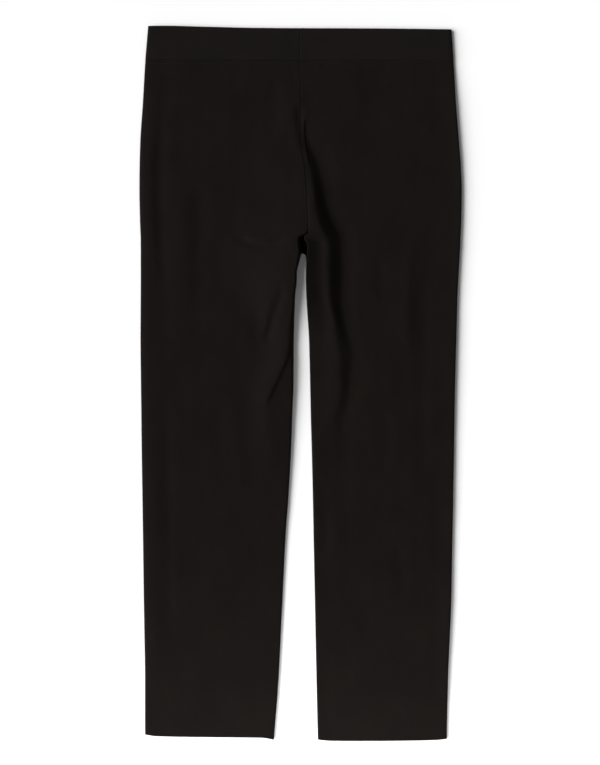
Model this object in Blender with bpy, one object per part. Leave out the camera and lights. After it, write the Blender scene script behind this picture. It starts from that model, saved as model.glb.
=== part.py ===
"""Black pull-on knit trousers, laid flat with the seat up.

Metres, +Z up. The waist points along +Y and the garment rests on Z = 0. Two front panels lie on the
surface, two back panels lie on them, and a waistband in three lengths closes the top. Each piece is
a wall of cloth between an outer and an inner grid of points, one row of points for each section.

The sizes are in millimetres. "drop" runs down from the waistband's highest point, and "across" runs
from the middle of the garment towards its right edge.
"""

import math
from collections import namedtuple

import bpy
import numpy as np

MM = 0.001
LENGTH = 1014.0  # from the waistband's top edge to the lowest hem
CLOTH = 1.2  # wall of a leg panel
BAND_WALL = 2.6  # cloth, elastic and cloth
HEM_WALL = 2.0  # cloth turned up once
HEM_DEPTH = 28.0
SEAM_GAP = 0.3
BAND_DEPTH = 48.0  # drop of the seam under the waistband
BAND_LEVEL = 5.9  # the waistband's two walls, one on the other
WIDEST = 460.0  # across the hips, with both side folds
LANDED = CLOTH + SEAM_GAP  # height of an edge that comes down on the front panels
LEAST_LEVEL = 2 * CLOTH + SEAM_GAP  # height of a back panel pressed down on the front one
BLACK = (0.0106, 0.0082, 0.0072)

# The outline. The back panels' inner edges are the centre seam down to the crotch, at 292, and the
# inseams below it. The front panels reach further down, to the fork at 322.
Outline = namedtuple(
    "Outline", "drop left_outer left_inner right_inner right_outer front_left front_right"
)
OUTLINE = (
    Outline(0, -216.2, -0.6, -0.6, 214.3, 2.9, 2.9),
    Outline(48, -220.2, -0.8, -0.8, 217.2, 2.9, 2.9),
    Outline(105, -223.7, -1.3, -1.3, 220.3, 2.9, 2.9),
    Outline(162, -227.5, -1.0, -1.0, 224.7, 2.9, 2.9),
    Outline(197, -228.5, 5.0, 5.0, 227.3, 2.9, 2.9),
    Outline(233, -228.8, 7.9, 7.9, 228.7, 2.9, 2.9),
    Outline(275, -228.0, 9.9, 9.9, 228.1, 2.9, 2.9),
    Outline(290, -227.5, 10.4, 10.4, 227.5, 2.9, 2.9),
    Outline(294, -227.3, 9.8, 10.2, 227.3, 2.9, 2.9),
    Outline(299, -227.1, 1.6, 4.8, 227.0, 2.9, 2.9),
    Outline(304, -227.0, -0.4, 4.4, 226.8, 2.9, 2.9),
    Outline(312, -227.0, 0.4, 5.2, 226.6, 2.9, 2.9),
    Outline(318, -226.9, 1.0, 5.8, 226.2, 2.9, 2.9),
    Outline(322, -226.9, 1.2, 6.4, 226.0, 2.4, 3.4),
    Outline(325, -226.9, 0.6, 6.9, 225.8, 1.4, 6.2),
    Outline(330, -226.9, -1.6, 7.2, 225.6, -1.0, 6.8),
    Outline(336, -226.8, -3.5, 7.2, 225.2, -3.1, 7.0),
    Outline(360, -226.9, -5.4, 7.0, 223.8, -5.2, 7.0),
    Outline(385, -227.0, -7.6, 8.3, 222.7, -7.6, 8.3),
    Outline(446, -227.3, -9.4, 12.0, 221.0, -9.4, 12.0),
    Outline(510, -226.7, -9.9, 13.5, 219.3, -9.9, 13.5),
    Outline(550, -226.2, -11.4, 14.3, 218.6, -11.4, 14.3),
    Outline(602, -225.6, -13.3, 15.8, 217.8, -13.3, 15.8),
    Outline(673, -224.6, -17.3, 17.4, 216.6, -17.3, 17.4),
    Outline(722, -223.9, -20.9, 18.3, 215.6, -20.9, 18.3),
    Outline(815, -222.6, -25.5, 20.2, 213.9, -25.5, 20.2),
    Outline(929, -220.9, -31.1, 22.5, 209.2, -31.1, 22.5),
    Outline(1014, -220.7, -37.4, 24.4, 207.6, -37.4, 24.4),
)

# How high the cloth stands at each edge and in the middle of a back panel.
Height = namedtuple("Height", "drop left_outer left_inner right_inner right_outer middle")
HEIGHTS = (
    Height(48, 5.2, 5.4, 5.4, 5.0, 5.4),
    Height(105, 5.8, 5.6, 5.6, 4.8, 5.0),
    Height(147, 5.8, 6.4, 6.4, 4.8, 5.0),
    Height(176, 5.8, 8.0, 7.8, 4.8, 5.0),
    Height(218, 5.8, 11.6, 11.2, 4.8, 5.0),
    Height(247, 5.8, 13.2, 12.9, 4.8, 5.0),
    Height(290, 5.8, 15.8, 15.4, 4.8, 5.0),
    Height(297, 5.8, 16.9, 15.0, 4.8, 5.0),
    Height(303, 5.8, 17.6, 14.4, 4.8, 5.0),
    Height(318, 5.8, 18.2, 17.4, 4.7, 5.0),
    Height(335, 5.8, 18.6, 19.0, 4.6, 5.0),
    Height(360, 5.8, 18.4, 18.6, 4.6, 5.0),
    Height(385, 5.7, 17.6, 16.2, 4.5, 5.0),
    Height(410, 5.7, 15.8, 11.8, 4.4, 5.0),
    Height(434, 5.7, 13.8, 7.6, 4.4, 4.9),
    Height(448, 5.6, 12.9, 5.8, 4.4, 4.9),
    Height(531, 5.4, 9.8, 4.4, 4.2, 4.8),
    Height(602, 5.3, 7.6, 4.4, 4.2, 4.7),
    Height(673, 5.3, 5.8, 4.4, 4.2, 4.7),
    Height(815, 5.2, 4.6, 4.4, 4.2, 4.7),
    Height(986, 4.9, 5.0, 4.9, 4.7, 4.9),
    Height(1014, 4.9, 5.2, 4.9, 4.7, 5.0),
)

# How far the raised cloth of the left back panel stays level from its inner edge, and where it has
# come down to the middle.
Rise = namedtuple("Rise", "drop shelf reach")
LEFT_RISE = (
    Rise(48, 2.0, 50.0),
    Rise(147, 2.0, 80.0),
    Rise(218, 2.0, 112.0),
    Rise(290, 2.0, 124.0),
    Rise(340, 3.0, 118.0),
    Rise(390, 4.0, 92.0),
    Rise(430, 6.0, 64.0),
    Rise(455, 9.0, 54.0),
    Rise(480, 16.0, 58.0),
    Rise(505, 27.0, 68.0),
    Rise(522, 33.0, 74.0),
    Rise(560, 30.0, 74.0),
    Rise(673, 10.0, 62.0),
    Rise(1014, 2.0, 62.0),
)

LEFT_RISE_POWER = 1.3  # makes it steeper near the edge than far from it

# How far in from the inner edges their cloth starts to turn down.
Round = namedtuple("Round", "drop left right")
ROUNDS = (
    Round(290, 3.5, 4.0),
    Round(300, 4.5, 6.0),
    Round(306, 4.5, 7.0),
    Round(318, 4.5, 6.0),
    Round(325, 4.0, 4.0),
    Round(338, 2.8, 2.4),
    Round(385, 3.2, 3.0),
    Round(412, 5.5, 3.5),
    Round(430, 8.5, 3.5),
    Round(458, 9.5, 3.5),
    Round(480, 4.0, 3.5),
    Round(530, 3.5, 3.5),
    Round(1014, 3.5, 3.5),
)
# Towards the side folds the cloth comes down on the left and up on the right. "lift" fades out at the
# waistband and at the hem, and "width" is the rounding's.
Side = namedtuple("Side", "lift reach width")
LEFT_SIDE = Side(-1.5, 17.0, 4.0)
RIGHT_SIDE = Side(2.0, 26.0, 2.8)
SIDE_FADE = 70.0
SIDE_SLOPE = 40.0  # the width beside a side fold over which the cloth comes to its height there

# The deep fold of the right back panel: the hollow beside the inner edge, the ridge, the valley that
# the ridge falls into, and the shoulder where the cloth is level again.
DeepFold = namedtuple(
    "DeepFold", "drop hollow hollow_level ridge ridge_level valley valley_level shoulder"
)
DEEP_FOLD = (
    DeepFold(48, 8.0, 5.4, 16.0, 5.4, 36.0, 5.4, 62.0),
    DeepFold(105, 3.0, 5.4, 9.0, 5.3, 22.0, 5.0, 50.0),
    DeepFold(147, 1.5, 6.2, 3.5, 6.0, 10.5, 4.6, 42.0),
    DeepFold(162, 1.0, 6.9, 3.2, 6.6, 12.5, 4.2, 44.0),
    DeepFold(176, 3.4, 7.7, 5.4, 7.5, 17.0, 3.9, 48.0),
    DeepFold(191, 7.0, 8.8, 9.6, 8.6, 24.0, 3.5, 54.0),
    DeepFold(203, 9.0, 9.8, 12.4, 9.6, 28.0, 3.2, 57.0),
    DeepFold(217, 10.6, 11.0, 14.6, 10.8, 31.5, 2.9, 60.0),
    DeepFold(231, 11.8, 12.2, 16.4, 12.0, 33.5, 2.8, 61.0),
    DeepFold(251, 13.4, 13.8, 18.6, 13.6, 37.5, 2.8, 62.0),
    DeepFold(271, 14.8, 15.4, 21.4, 15.2, 45.5, 2.8, 69.0),
    DeepFold(284, 16.0, 16.2, 25.0, 16.0, 51.5, 2.8, 76.0),
    DeepFold(291, 18.0, 16.0, 29.0, 16.2, 55.4, 2.8, 82.0),
    DeepFold(297, 20.0, 15.6, 32.5, 16.0, 58.4, 2.8, 85.0),
    DeepFold(303, 23.0, 13.4, 34.6, 15.4, 60.0, 2.8, 86.0),
    DeepFold(311, 24.5, 13.4, 36.0, 15.2, 61.0, 2.8, 87.0),
    DeepFold(331, 26.0, 13.6, 36.8, 14.8, 61.0, 2.8, 87.0),
    DeepFold(360, 27.5, 13.2, 37.2, 14.2, 60.2, 2.8, 86.0),
    DeepFold(385, 30.0, 11.6, 39.4, 12.8, 59.4, 2.8, 85.0),
    DeepFold(400, 32.0, 10.4, 42.2, 11.6, 60.2, 2.8, 85.0),
    DeepFold(420, 33.0, 8.6, 46.2, 10.2, 63.8, 2.8, 86.0),
    DeepFold(437, 32.0, 7.0, 48.8, 9.4, 67.8, 2.8, 89.0),
    DeepFold(454, 29.0, 5.9, 51.2, 9.0, 73.0, 2.9, 95.0),
    DeepFold(471, 28.0, 5.6, 53.2, 8.6, 75.4, 3.0, 98.0),
    DeepFold(488, 28.0, 5.4, 53.8, 8.2, 73.4, 3.0, 100.0),
    DeepFold(505, 28.0, 5.2, 54.6, 7.7, 72.0, 3.2, 100.0),
    DeepFold(522, 28.0, 5.0, 54.0, 7.0, 70.6, 3.5, 96.0),
    DeepFold(539, 27.0, 4.9, 51.0, 6.2, 68.0, 3.8, 88.0),
    DeepFold(559, 25.0, 4.8, 45.0, 5.7, 61.0, 4.1, 80.0),
    DeepFold(673, 28.0, 4.6, 42.0, 4.8, 66.0, 4.3, 92.0),
    DeepFold(815, 32.0, 4.6, 52.0, 4.7, 76.0, 4.6, 104.0),
    DeepFold(1014, 38.0, 4.9, 58.0, 5.0, 86.0, 5.0, 112.0),
)

# The softer folds. A trough's lift is negative, spread is its reach to each side, and the route's
# points are (across, drop).
Fold = namedtuple("Fold", "lift spread route")
LEFT_FOLDS = (
    Fold(-2.6, 8.0, ((-96, 297), (-78, 306), (-62, 312), (-46, 311), (-30, 304), (-10, 296))),
    Fold(-1.8, 7.0, ((-24, 366), (-28, 384), (-33, 400), (-38, 415), (-44, 433), (-51, 455))),
    Fold(1.0, 8.0, ((-43, 386), (-48, 408), (-50, 426), (-55, 446))),
    Fold(1.8, 8.0, ((-18, 455), (-26, 478), (-32, 488), (-38, 505), (-42, 514), (-48, 524))),
    Fold(-1.5, 9.0, ((-196, 90), (-200, 180), (-201, 250), (-197, 330), (-190, 400))),
    Fold(-1.1, 10.0, ((-188, 500), (-187, 680), (-184, 900))),
    Fold(-1.2, 13.0, ((-144, 220), (-146, 310), (-148, 400))),
)
RIGHT_FOLDS = (
    Fold(-1.1, 12.0, ((188, 230), (184, 320), (176, 430), (174, 560), (176, 690))),
    Fold(1.2, 11.0, ((156, 290), (152, 380), (150, 480))),
    Fold(1.1, 11.0, ((140, 540), (136, 640))),
    Fold(-1.2, 9.0, ((36, 665), (36, 755))),
    Fold(-1.1, 11.0, ((138, 725), (146, 815))),
    Fold(-1.0, 10.0, ((112, 325), (115, 385))),
)
FOLD_FADE = 0.25  # share of a fold's length over which it dies out at each end

# How far the end of each leg is drawn up, from its left corner to its right one.
HemEnd = namedtuple("HemEnd", "share left right")
HEM_ENDS = (
    HemEnd(0.0, 8.9, 1.8),
    HemEnd(0.1, 6.7, 0.2),
    HemEnd(0.4, 5.6, 0.0),
    HemEnd(0.9, 4.6, 1.2),
    HemEnd(1.0, 1.8, 3.0),
)
HEM_FADE = 140.0

# How far the waistband and the cloth below it sit lower at the garment's right edge than at its left.
Slant = namedtuple("Slant", "drop fall")
SLANTS = (Slant(0, 5.2), Slant(48, 1.4), Slant(160, 0.0))
TopEdge = namedtuple("TopEdge", "share fall")
TOP_EDGE = (  # how much of that fall there is by each share of the width
    TopEdge(0.0, 0.04),
    TopEdge(0.08, 0.0),
    TopEdge(0.2, 0.25),
    TopEdge(0.38, 0.6),
    TopEdge(0.5, 0.66),
    TopEdge(0.75, 0.75),
    TopEdge(1.0, 1.0),
)

# Stretches of sections: from, to, and how many rows lie in each.
Stretch = namedtuple("Stretch", "start end rows")
INSEAM_STRETCHES = (
    Stretch(318, 348, 5),
    Stretch(348, 400, 4),
    Stretch(400, 560, 9),
    Stretch(560, 760, 5),
    Stretch(760, LENGTH - HEM_DEPTH, 4),
)
BACK_STRETCHES = (
    Stretch(48, 147, 3),
    Stretch(147, 218, 5),
    Stretch(218, 284, 4),
    Stretch(284, 294, 2),
    Stretch(294, 304, 4),
    Stretch(304, 318, 3),
    *INSEAM_STRETCHES,
)
FRONT_STRETCHES = (Stretch(48, 290, 4), Stretch(290, 318, 3), *INSEAM_STRETCHES)

HEM_STEP = 0.6  # the rows just above and below the hem's top are this far from it
HEM_TURN = 4.0  # and the last row but one is this far from its lower end
BAND_ROWS = 4
FRONT_COLUMNS = 5
HALF_BAND_COLUMNS = 8
WHOLE_BAND_COLUMNS = 16
SHARP_ANGLE = 50.0  # degrees

# Drops between which the cloth comes to turn round its inner edges, and those edges' seams rise.
BACK_TURNS = (288.0, 304.0)
FRONT_TURNS = (326.0, 356.0)
RIM_RISES = (322.0, 356.0)
SEAM_ROUND = 2.0
ROUND_SHARES = np.array([0.0, 0.13, 0.5, 1.0])  # columns round an edge, as shares of its width

Edge = namedtuple("Edge", "across rim turn width")


def smooth(stations, values, at):
    """A curve through (stations, values) that never overshoots them, read at some places."""
    steps = np.diff(stations)
    slopes = np.diff(values) / steps
    before, after = slopes[:-1], slopes[1:]
    agree = before * after > 0
    bends = np.where(agree, 2 * before * after / np.where(agree, before + after, 1.0), 0.0)
    bends = np.concatenate([slopes[:1], bends, slopes[-1:]])
    at = np.clip(at, stations[0], stations[-1])
    i = np.clip(np.searchsorted(stations, at, side="right") - 1, 0, len(steps) - 1)
    t = (at - np.take(stations, i)) / steps[i]
    first = (1 + 2 * t) * np.take(values, i) + t * steps[i] * bends[i]
    last = (3 - 2 * t) * np.take(values, i + 1) - (1 - t) * steps[i] * bends[i + 1]
    return (1 - t) ** 2 * first + t**2 * last


def read(table, name, at):
    """A table's column at these places of its first column."""
    return smooth([float(row[0]) for row in table], [getattr(row, name) for row in table], at)


def ramp(low, high, at):
    """0 below low, 1 above high, and smooth between them."""
    t = np.clip((at - low) / (high - low), 0.0, 1.0)
    return t * t * (3 - 2 * t)


def fold_lift(folds, across, drop):
    """What the soft folds add to one section's height."""
    total = np.zeros_like(across)
    for fold in folds:
        route = np.array(fold.route, float)
        legs = np.diff(route, axis=0)
        runs = np.hypot(legs[:, 0], legs[:, 1])
        walked = np.concatenate([[0.0], np.cumsum(runs)])
        nearest = np.full(across.shape, np.inf)
        share = np.zeros_like(across)
        for start, leg, run, before in zip(route, legs, runs, walked):
            along = ((across - start[0]) * leg[0] + (drop - start[1]) * leg[1]) / run**2
            along = np.clip(along, 0.0, 1.0)
            gap = np.hypot(across - start[0] - along * leg[0], drop - start[1] - along * leg[1])
            closer = gap < nearest
            share = np.where(closer, (before + along * run) / walked[-1], share)
            nearest = np.where(closer, gap, nearest)
        ends = ramp(0.0, FOLD_FADE, share) * ramp(0.0, FOLD_FADE, 1.0 - share)
        total += fold.lift * ends * np.exp(-((nearest / fold.spread) ** 2))
    return total


def beside_seam(column, drop):
    """An outline column at this drop, moved half a gap off the seam in the middle."""
    half_gap = 0.5 * SEAM_GAP if "right" in column else -0.5 * SEAM_GAP
    return float(read(OUTLINE, column, drop)) + half_gap


def side_lift(fold, inwards, drop):
    """How much higher the cloth stands this far in from a side fold."""
    fade = ramp(BAND_DEPTH, BAND_DEPTH + SIDE_FADE, drop)
    fade = fade * ramp(LENGTH - HEM_DEPTH, LENGTH - HEM_DEPTH - SIDE_FADE, drop)
    return fold.lift * fade * np.clip(1 - inwards / fold.reach, 0.0, 1.0) ** 2


def back_edge(side, drop):
    """Where a back panel's edge lies, and how far its cloth turns down there."""
    level = float(read(HEIGHTS, side, drop))
    if side.endswith("outer"):
        fold = LEFT_SIDE if side == "left_outer" else RIGHT_SIDE
        rim = 0.5 * (level + min(side_lift(fold, 0.0, drop), 0.0))
        return Edge(float(read(OUTLINE, side, drop)), rim, 1.0, fold.width)
    width = float(read(ROUNDS, side.split("_")[0], drop))
    turn = float(ramp(*BACK_TURNS, drop))  # the centre seam above, the inseam below
    rim = LANDED + (0.5 * level - LANDED) * float(ramp(*RIM_RISES, drop))
    return Edge(beside_seam(side, drop), rim, turn, SEAM_ROUND + (width - SEAM_ROUND) * turn)


def front_edge(side, drop):
    """The same edge of the front panel, whose cloth turns up to meet the back one."""
    above = back_edge(side, drop)
    if side.endswith("outer"):
        return above
    turn = float(ramp(*FRONT_TURNS, drop))
    across = beside_seam("front_" + side.split("_")[0], drop)
    return Edge(across, above.rim, turn, SEAM_ROUND + (above.width - SEAM_ROUND) * turn)


def left_back_level(across, drop):
    """The left back panel stands highest at its inner edge, over the front panel's fork."""
    middle = read(HEIGHTS, "middle", drop)
    shelf, reach = (read(LEFT_RISE, name, drop) for name in ("shelf", "reach"))
    near_inner = 1 - ramp(shelf, reach, read(OUTLINE, "left_inner", drop) - across)
    near_inner = near_inner**LEFT_RISE_POWER
    from_side = across - read(OUTLINE, "left_outer", drop)
    near_outer = 1 - ramp(0.0, SIDE_SLOPE, from_side)
    level = middle + (read(HEIGHTS, "left_inner", drop) - middle) * near_inner
    level = level + (read(HEIGHTS, "left_outer", drop) - middle) * near_outer
    level = level + side_lift(LEFT_SIDE, from_side, drop)
    return level + fold_lift(LEFT_FOLDS, across, drop)


def right_back_level(across, drop):
    """The right back panel rises to its ridge, falls into the valley and comes back level."""
    middle = read(HEIGHTS, "middle", drop)
    outer = read(OUTLINE, "right_outer", drop)
    knots = (
        (read(OUTLINE, "right_inner", drop), read(HEIGHTS, "right_inner", drop)),
        (read(DEEP_FOLD, "hollow", drop), read(DEEP_FOLD, "hollow_level", drop)),
        (read(DEEP_FOLD, "ridge", drop), read(DEEP_FOLD, "ridge_level", drop)),
        (read(DEEP_FOLD, "valley", drop), read(DEEP_FOLD, "valley_level", drop)),
        (read(DEEP_FOLD, "shoulder", drop), middle),
        (outer - SIDE_SLOPE, middle),
        (outer, read(HEIGHTS, "right_outer", drop)),
    )
    places, levels = zip(*knots)
    level = smooth(places, levels, across)
    level = level + side_lift(RIGHT_SIDE, outer - across, drop)
    return level + fold_lift(RIGHT_FOLDS, across, drop)


def left_back_places(drop):
    """Knots of the left back panel's columns, and how many columns lie between them."""
    outer, inner = read(OUTLINE, "left_outer", drop), read(OUTLINE, "left_inner", drop)
    return [outer + 46.0, inner - 62.0], [5, 5, 8]


def right_back_places(drop):
    """The right back panel's columns follow the deep fold."""
    fold = [read(DEEP_FOLD, name, drop) for name in ("ridge", "valley", "shoulder")]
    return [*fold, read(OUTLINE, "right_outer", drop) - 50.0], [4, 5, 4, 5, 4]


def even_places(count):
    """Evenly spread columns."""
    return lambda drop: ([], [count])


def section(low, high, places, counts):
    """Across positions of one row: round the low edge, over the panel, round the high edge."""
    start = low.across + ROUND_SHARES * low.width
    end = high.across - ROUND_SHARES[::-1] * high.width
    knots = [start[-1], *places, end[0]]
    runs = [
        np.linspace(a, b, count, endpoint=False) for a, b, count in zip(knots, knots[1:], counts)
    ]
    return np.concatenate([start[:-1], *runs, end])


def round_share(edge, inwards):
    """How far into an edge's rounding each place is, from 0 at the edge to 1 past it."""
    return np.clip(inwards / edge.width, 0.0, 1.0)


def turned(level, across, low, high, half_gap):
    """The level brought to the rim, as a quarter round, at each of the section's two edges."""
    for edge, inwards in ((low, across - low.across), (high, high.across - across)):
        quarter = np.sqrt(1 - (1 - round_share(edge, inwards)) ** 2)
        rim = edge.rim + half_gap
        level = rim + (level - rim) * (1 - edge.turn * (1 - quarter))
    return level


def slanted(across, drop):
    """Y of a place, with the waistband's slant."""
    fall = read(SLANTS, "fall", drop) * read(TOP_EDGE, "fall", across / WIDEST + 0.5)
    return LENGTH / 2 - drop - fall


def inner_grid(outer, walls, low_turns, high_turns, facing):
    """The outer points moved in by the wall, square to the cloth. A column of points is added past
    each edge for this, and it turns back where the cloth turns round the edge."""
    past_low = outer[:, 0] - outer[:, 1]
    past_high = outer[:, -1] - outer[:, -2]
    past_low[:, 0] *= 1 - 2 * low_turns
    past_high[:, 0] *= 1 - 2 * high_turns
    wide = np.concatenate(
        [outer[:, :1] + past_low[:, None], outer, outer[:, -1:] + past_high[:, None]], axis=1
    )
    rightwards = wide[:, 2:] - wide[:, :-2]
    downwards = np.gradient(outer, axis=0)
    normal = facing * np.cross(downwards, rightwards)
    normal /= np.linalg.norm(normal, axis=2, keepdims=True)
    return outer - normal * np.array(walls)[:, None, None]


def kept_apart(inner, edges, walls, facing):
    """The inner points held in order across, and clear of the panel that lies against them."""
    half_gap = 0.5 * SEAM_GAP
    least_step = 0.02 * np.arange(inner.shape[1])
    inner[:, :, 0] = np.maximum.accumulate(inner[:, :, 0] - least_step, axis=1) + least_step
    for row, (low, high), wall in zip(inner, edges, walls):
        across = row[:, 0]
        near_low = round_share(low, across - low.across) < 1
        near_high = round_share(high, high.across - across) < 1
        limit = wall + SEAM_GAP if facing > 0 else wall
        limits = np.full(len(row), limit)
        limits = np.where(near_low, np.maximum(low.rim + facing * half_gap, limit), limits)
        limits = np.where(near_high, np.maximum(high.rim + facing * half_gap, limit), limits)
        row[:, 2] = np.maximum(row[:, 2], limits) if facing > 0 else np.minimum(row[:, 2], limits)
    return inner


def wall_of_cloth(name, sections, facing):
    """One node from its sections: a list of (points, wall, low edge, high edge)."""
    outer = np.array([points for points, _, _, _ in sections])
    walls = [wall for _, wall, _, _ in sections]
    edges = [(low, high) for _, _, low, high in sections]
    low_turns = np.array([low.turn for low, _ in edges])
    high_turns = np.array([high.turn for _, high in edges])
    inner = inner_grid(outer, walls, low_turns, high_turns, facing)
    return add_node(name, outer, kept_apart(inner, edges, walls, facing), facing)


def add_node(name, outer, inner, facing):
    """A closed mesh between two grids of points, which are in millimetres."""
    rows, columns = outer.shape[:2]
    out = np.arange(rows * columns).reshape(rows, columns)
    back = out + out.size
    strips = [*zip(out, out[1:]), *zip(back[1:], back)]
    strips += [(back[0], out[0]), (out[-1], back[-1])]
    strips += [(out[:, 0], back[:, 0]), (back[:, -1], out[:, -1])]
    faces = [face for a, b in strips for face in zip(a[:-1], b[:-1], b[1:], a[1:])]
    faces = [tuple(map(int, face if facing > 0 else face[::-1])) for face in faces]
    points = np.concatenate([outer.reshape(-1, 3), inner.reshape(-1, 3)]) * MM
    mesh = bpy.data.meshes.new(name)
    mesh.from_pydata(points.tolist(), [], faces)
    mesh.shade_smooth()
    mesh.set_sharp_from_angle(angle=math.radians(SHARP_ANGLE))
    mesh.materials.append(black_knit(name))
    obj = bpy.data.objects.new(name, mesh)
    bpy.context.scene.collection.objects.link(obj)
    return obj


def black_knit(name):
    """Fine black knit: matt, with a slight sheen."""
    material = bpy.data.materials.new(name)
    material.use_nodes = True
    shader = material.node_tree.nodes["Principled BSDF"]
    shader.inputs["Base Color"].default_value = (*BLACK, 1.0)
    shader.inputs["Roughness"].default_value = 0.9
    shader.inputs["Sheen Weight"].default_value = 0.3
    return material


def leg_drops(stretches):
    """Drops of a leg panel's rows, down to the top of the hem and round its turned-up end."""
    drops = [
        np.linspace(part.start, part.end, part.rows, endpoint=False) for part in stretches
    ]
    hem_top = LENGTH - HEM_DEPTH
    drops = np.concatenate([*drops, [hem_top - HEM_STEP, hem_top + HEM_STEP, LENGTH - HEM_TURN, LENGTH]])
    drops[0] += 0.5 * SEAM_GAP
    return drops


def leg_panel(name, side, facing, stretches, edge_at, level_at, places_at):
    """A leg panel, from the seam under the waistband to the hem."""
    sections = []
    for drop in leg_drops(stretches):
        sides = ("left_outer", "left_inner") if side == "left" else ("right_inner", "right_outer")
        low, high = (edge_at(each, drop) for each in sides)
        across = section(low, high, *places_at(drop))
        wall = HEM_WALL if drop > LENGTH - HEM_DEPTH else CLOTH
        level = level_at(across, drop)
        if facing > 0:
            level = np.maximum(level, LEAST_LEVEL)
        level = turned(level, across, low, high, 0.5 * SEAM_GAP * facing)
        share = (across - low.across) / (high.across - low.across)
        drawn_up = read(HEM_ENDS, side, share) * ramp(LENGTH - HEM_FADE, LENGTH, drop)
        points = np.stack([across, slanted(across, drop) + drawn_up, level], axis=1)
        sections.append((points, wall, low, high))
    return wall_of_cloth(name, sections, facing)


def lies_flat(across, drop):
    """A front panel rests on the surface."""
    return np.zeros_like(across)


def band_length(name, sides, facing, columns):
    """A length of the waistband, between two of its edges."""
    sections = []
    for drop in np.linspace(0.0, BAND_DEPTH - 0.5 * SEAM_GAP, BAND_ROWS):
        low, high = (band_edge(side, drop) for side in sides)
        across = section(low, high, [], [columns])
        level = np.full_like(across, BAND_LEVEL if facing > 0 else 0.0)
        level = turned(level, across, low, high, 0.5 * SEAM_GAP * facing)
        points = np.stack([across, slanted(across, drop), level], axis=1)
        sections.append((points, BAND_WALL, low, high))
    return wall_of_cloth(name, sections, facing)


def band_edge(side, drop):
    """The waistband's side folds, and the seam in the middle of its back."""
    if side.endswith("outer"):
        across = float(read(OUTLINE, side, drop))
        return Edge(across, 0.5 * BAND_LEVEL, 1.0, 0.8 * BAND_LEVEL)
    return Edge(beside_seam(side, drop), LANDED, 0.0, SEAM_ROUND)


def main():
    for obj in list(bpy.data.objects):
        bpy.data.objects.remove(obj)
    leg_panel(
        "back_left_leg", "left", 1, BACK_STRETCHES, back_edge, left_back_level, left_back_places
    )
    leg_panel(
        "back_right_leg", "right", 1, BACK_STRETCHES, back_edge, right_back_level, right_back_places
    )
    evenly = even_places(FRONT_COLUMNS)
    for side in ("left", "right"):
        leg_panel(f"front_{side}_leg", side, -1, FRONT_STRETCHES, front_edge, lies_flat, evenly)
    band_length("waistband_back_left", ("left_outer", "left_inner"), 1, HALF_BAND_COLUMNS)
    band_length("waistband_back_right", ("right_inner", "right_outer"), 1, HALF_BAND_COLUMNS)
    band_length("waistband_front", ("left_outer", "right_outer"), -1, WHOLE_BAND_COLUMNS)


main()
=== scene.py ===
"""Looks of the black pull-on knit trousers, laid flat with the seat up.

Each piece of cloth is a thin closed shell on its solid's form. It is a grid of rows, one for each
"drop" in millimetres down from the waistband's highest point, and of columns "across" from the
middle of the garment. The sizes and tables are the solids' own, apart from a few millimetres round
the fork of the legs and at the side folds, where they follow the photograph more closely. Creases,
seams, needle rows and the sway of the cloth are added to them here.
"""

import math
from collections import namedtuple

import bpy
import numpy as np
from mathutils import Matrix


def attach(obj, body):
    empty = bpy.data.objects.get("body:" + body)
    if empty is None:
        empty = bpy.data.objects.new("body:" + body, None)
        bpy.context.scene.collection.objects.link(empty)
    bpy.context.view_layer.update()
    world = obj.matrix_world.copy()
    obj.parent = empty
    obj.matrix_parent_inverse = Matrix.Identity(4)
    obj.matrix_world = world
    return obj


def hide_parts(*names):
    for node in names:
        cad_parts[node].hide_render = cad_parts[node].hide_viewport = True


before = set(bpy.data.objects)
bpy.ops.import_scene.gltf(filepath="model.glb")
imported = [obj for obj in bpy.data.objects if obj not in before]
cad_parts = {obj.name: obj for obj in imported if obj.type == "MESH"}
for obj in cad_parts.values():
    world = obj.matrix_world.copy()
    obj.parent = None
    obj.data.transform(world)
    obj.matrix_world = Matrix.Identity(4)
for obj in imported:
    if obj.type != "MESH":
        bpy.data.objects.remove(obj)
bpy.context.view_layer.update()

MM = 0.001

# ---------------------------------------------------------------------------- sizes in millimetres
LENGTH = 1014.0  # from the waistband's top edge to the lowest hem
CLOTH = 1.2
BAND_WALL = 2.6  # cloth, elastic and cloth
HEM_WALL = 2.0  # cloth turned up once
HEM_DEPTH = 28.0
HEM_TOP = LENGTH - HEM_DEPTH
SEAM_GAP = 0.3
SEWN_GAP = 0.04  # what is left of it here, where the seams are sewn shut
BAND_DEPTH = 48.0
BAND_LEVEL = 5.9  # how high its back lengths stand
BAND_ROUND = 1.6  # how far in its side folds are rounded, as a share of half that height
WIDEST = 460.0  # what the shares in TOP_EDGE are taken of
LANDED = CLOTH + SEAM_GAP  # where a back panel's underside rests on a front panel
LEAST_LEVEL = 2 * CLOTH + SEAM_GAP

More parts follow.
